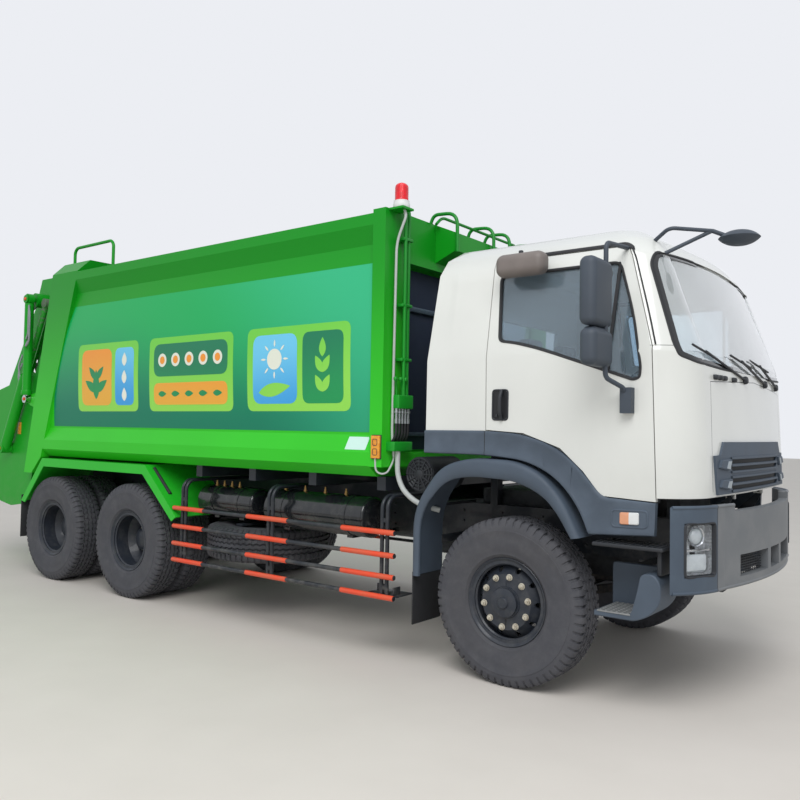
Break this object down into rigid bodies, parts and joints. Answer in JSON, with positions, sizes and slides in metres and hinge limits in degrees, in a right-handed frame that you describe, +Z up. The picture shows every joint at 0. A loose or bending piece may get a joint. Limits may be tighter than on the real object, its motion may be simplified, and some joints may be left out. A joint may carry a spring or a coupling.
{
  "type": "rear-loading refuse truck, three axles",
  "caption": "Three-axle rear-loading refuse truck: tilting cab, hollow load body with an ejector, and a hinged tailgate with a hopper, packer and sweep blade.",
  "frame": {"origin": "middle of the bounding box, on the ground", "axes": "+X forwards, +Y to the vehicle's left, +Z up"},
  "size_m": [9.358, 3.126, 3.576],
  "materials": {
    "frame_paint": "satin",
    "cab_white": "gloss",
    "body_green": "gloss",
    "dark_plastic": "satin",
    "glass": "gloss",
    "lamp_glass": "gloss",
    "wheel": "matte",
    "rod_chrome": "gloss",
    "seat_cloth": "matte",
    "hopper_steel": "satin"
  },
  "bodies": {
    "chassis": {"chassis_frame": "frame_paint", "subframe": "frame_paint", "engine_block": "frame_paint", "radiator": "frame_paint", "front_axle": "frame_paint", "springs": "frame_paint", "rear_axles": "frame_paint", "bumper": "dark_plastic", "headlamps": "glass", "steps": "dark_plastic", "mudguards": "dark_plastic", "air_cleaner": "dark_plastic", "air_tanks": "frame_paint", "fuel_tank": "frame_paint", "side_boxes": "frame_paint", "spare_wheel": "wheel", "side_guards": "dark_plastic", "fenders": "body_green", "body_shell": "body_green", "front_frame": "body_green", "rear_frame": "body_green", "marker_lamps": "lamp_glass", "roof_rails": "body_green"},
    "cab": {"cab_shell": "cab_white", "cab_cladding": "dark_plastic", "cab_glass": "glass", "door_seals": "dark_plastic", "dashboard": "dark_plastic", "seats": "seat_cloth", "grille": "dark_plastic", "wipers": "dark_plastic", "cab_mirrors": "dark_plastic"},
    "door_right": {"door_right": "cab_white", "door_glass_right": "glass", "mirrors_right": "dark_plastic"},
    "door_left": {"door_left": "cab_white", "door_glass_left": "glass", "mirrors_left": "dark_plastic"},
    "knuckle_right": {"knuckle_right": "frame_paint"},
    "knuckle_left": {"knuckle_left": "frame_paint"},
    "track_rod": {"track_rod": "frame_paint"},
    "front_wheel_right": {"wheel_front_right": "wheel"},
    "front_wheel_left": {"wheel_front_left": "wheel"},
    "rear_first_right": {"wheels_rear_first_right": "wheel"},
    "rear_first_left": {"wheels_rear_first_left": "wheel"},
    "rear_second_right": {"wheels_rear_second_right": "wheel"},
    "rear_second_left": {"wheels_rear_second_left": "wheel"},
    "ejector": {"ejector": "hopper_steel"},
    "tailgate": {"tailgate_shell": "body_green", "tailgate_trough": "hopper_steel", "rear_lamps": "lamp_glass", "slide_barrels": "body_green"},
    "lift_barrels": {"lift_barrels": "body_green"},
    "lift_rods": {"lift_rods": "rod_chrome"},
    "carriage": {"carriage": "hopper_steel"},
    "blade": {"blade": "hopper_steel"},
    "sweep_barrels": {"sweep_barrels": "body_green"},
    "sweep_rods": {"sweep_rods": "rod_chrome"}
  },
  "joints": [
    {"name": "cab_tilt", "type": "hinge", "parent": "chassis", "child": "cab", "pos_m": [4.42, 0, 1.262], "axis": [0, 1, 0], "range_deg": [0, 45]},
    {"name": "door_right_swing", "type": "hinge", "parent": "cab", "child": "door_right", "pos_m": [4.234, -1.194, 1.95], "axis": [0, 0, 1], "range_deg": [0, 70]},
    {"name": "door_left_swing", "type": "hinge", "parent": "cab", "child": "door_left", "pos_m": [4.234, 1.194, 1.95], "axis": [0, 0, -1], "range_deg": [0, 70]},
    {"name": "steer_right", "type": "hinge", "parent": "chassis", "child": "knuckle_right", "pos_m": [3.24, -0.9, 0.5425], "axis": [0, 0, 1], "range_deg": [-32, 32]},
    {"name": "steer_left", "type": "hinge", "parent": "chassis", "child": "knuckle_left", "pos_m": [3.24, 0.9, 0.5425], "axis": [0, 0, 1], "range_deg": [-32, 32]},
    {"name": "track_rod_slide", "type": "slide", "parent": "chassis", "child": "track_rod", "axis": [0, 1, 0], "range_m": [-0.13, 0.13]},
    {"name": "front_wheel_right_roll", "type": "hinge", "parent": "knuckle_right", "child": "front_wheel_right", "pos_m": [3.24, -1.03, 0.5425], "axis": [0, 1, 0], "continuous": true},
    {"name": "front_wheel_left_roll", "type": "hinge", "parent": "knuckle_left", "child": "front_wheel_left", "pos_m": [3.24, 1.03, 0.5425], "axis": [0, 1, 0], "continuous": true},
    {"name": "rear_first_right_roll", "type": "hinge", "parent": "chassis", "child": "rear_first_right", "pos_m": [-0.875, -0.925, 0.5425], "axis": [0, 1, 0], "continuous": true},
    {"name": "rear_first_left_roll", "type": "hinge", "parent": "chassis", "child": "rear_first_left", "pos_m": [-0.875, 0.925, 0.5425], "axis": [0, 1, 0], "continuous": true},
    {"name": "rear_second_right_roll", "type": "hinge", "parent": "chassis", "child": "rear_second_right", "pos_m": [-2.245, -0.925, 0.5425], "axis": [0, 1, 0], "continuous": true},
    {"name": "rear_second_left_roll", "type": "hinge", "parent": "chassis", "child": "rear_second_left", "pos_m": [-2.245, 0.925, 0.5425], "axis": [0, 1, 0], "continuous": true},
    {"name": "ejector_push", "type": "slide", "parent": "chassis", "child": "ejector", "axis": [-1, 0, 0], "range_m": [0, 4]},
    {"name": "tailgate_lift", "type": "hinge", "parent": "chassis", "child": "tailgate", "pos_m": [-2.36, 0, 3.43], "axis": [0, 1, 0], "range_deg": [0, 80]},
    {"name": "lift_barrel_swing", "type": "hinge", "parent": "tailgate", "child": "lift_barrels", "pos_m": [-2.898, 0, 3.04], "axis": [0, 1, 0], "range_deg": [-85, 1]},
    {"name": "lift_rod_slide", "type": "slide", "parent": "lift_barrels", "child": "lift_rods", "axis": [0.0027, 0, -1], "range_m": [-0.01, 0.93]},
    {"name": "packer_slide", "type": "slide", "parent": "tailgate", "child": "carriage", "axis": [-0.454, 0, -0.891], "range_m": [0, 0.8]},
    {"name": "sweep_swing", "type": "hinge", "parent": "carriage", "child": "blade", "pos_m": [-3.17681, 0, 2.31281], "axis": [0, 1, 0], "range_deg": [0, 100]},
    {"name": "sweep_barrel_swing", "type": "hinge", "parent": "carriage", "child": "sweep_barrels", "pos_m": [-3.00005, 0, 3.21039], "axis": [0, 1, 0], "range_deg": [-2, 30]},
    {"name": "sweep_rod_slide", "type": "slide", "parent": "sweep_barrels", "child": "sweep_rods", "axis": [-0.2893, 0, -0.9572], "range_m": [-0.5, 0.02]}
  ],
  "couplings": [
    {"joint": "steer_left", "follows": "steer_right", "ratio": 1},
    {"joint": "track_rod_slide", "follows": "steer_right", "m_per_rad": -0.2},
    {"joint": "lift_barrel_swing", "follows": "tailgate_lift", "ratio": -0.9772},
    {"joint": "lift_rod_slide", "follows": "tailgate_lift", "m_per_rad": 0.61087},
    {"joint": "sweep_barrel_swing", "follows": "sweep_swing", "ratio": 0.1178},
    {"joint": "sweep_rod_slide", "follows": "sweep_swing", "m_per_rad": -0.22419}
  ]
}
